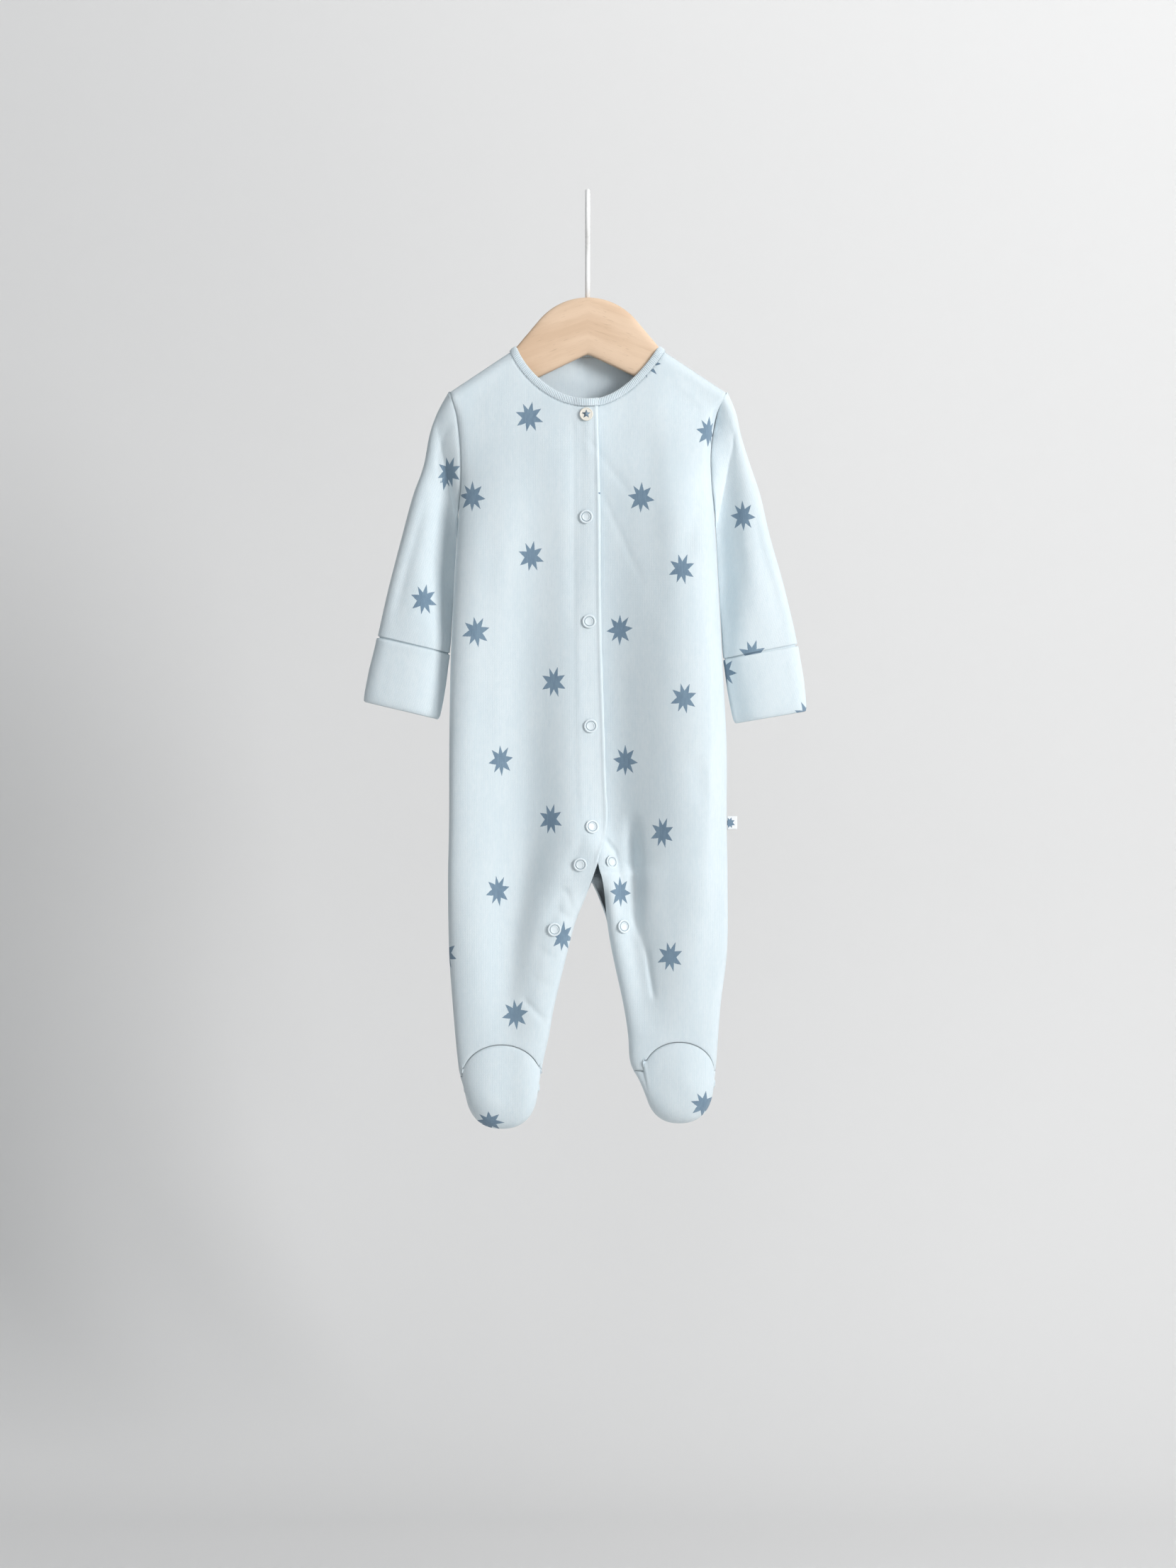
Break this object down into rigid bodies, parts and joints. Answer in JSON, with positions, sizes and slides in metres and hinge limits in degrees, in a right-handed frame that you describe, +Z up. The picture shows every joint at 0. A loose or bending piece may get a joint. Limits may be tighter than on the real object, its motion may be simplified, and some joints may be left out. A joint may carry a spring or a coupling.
{
  "type": "footed baby sleepsuit on a hanger",
  "caption": "Long-sleeved footed baby sleepsuit of printed jersey with a popper placket, turned-back cuffs and a ribbed neck, hung on a child's wooden hanger with a wire hook.",
  "frame": {"origin": "inner top of the hanger hook's crook, where it rests on a rail", "axes": "+Z up. The suit's front, with its placket, faces -Y, the wearer's right is at -X, and the rail that the hook takes runs along X."},
  "size_m": [0.3245, 0.0527, 0.6828],
  "materials": {
    "cloth": "matte",
    "rib": "matte",
    "popper": "satin",
    "button": "satin",
    "tab": "satin",
    "wood": "satin",
    "wire": "gloss"
  },
  "bodies": {
    "root": {"front_right": "cloth", "front_left": "cloth", "back": "cloth", "sleeve_right": "cloth", "sleeve_left": "cloth", "cuff_right": "cloth", "cuff_left": "cloth", "neck_binding": "rib", "toe_cap_right": "cloth", "toe_cap_left": "cloth", "sole_right": "cloth", "sole_left": "cloth", "neck_button": "button", "popper_1": "popper", "popper_2": "popper", "popper_3": "popper", "popper_4": "popper", "popper_5": "popper", "popper_6": "popper", "popper_7": "popper", "popper_8": "popper", "side_tab": "tab", "hanger": "wood", "hook": "wire"}
  },
  "joints": []
}
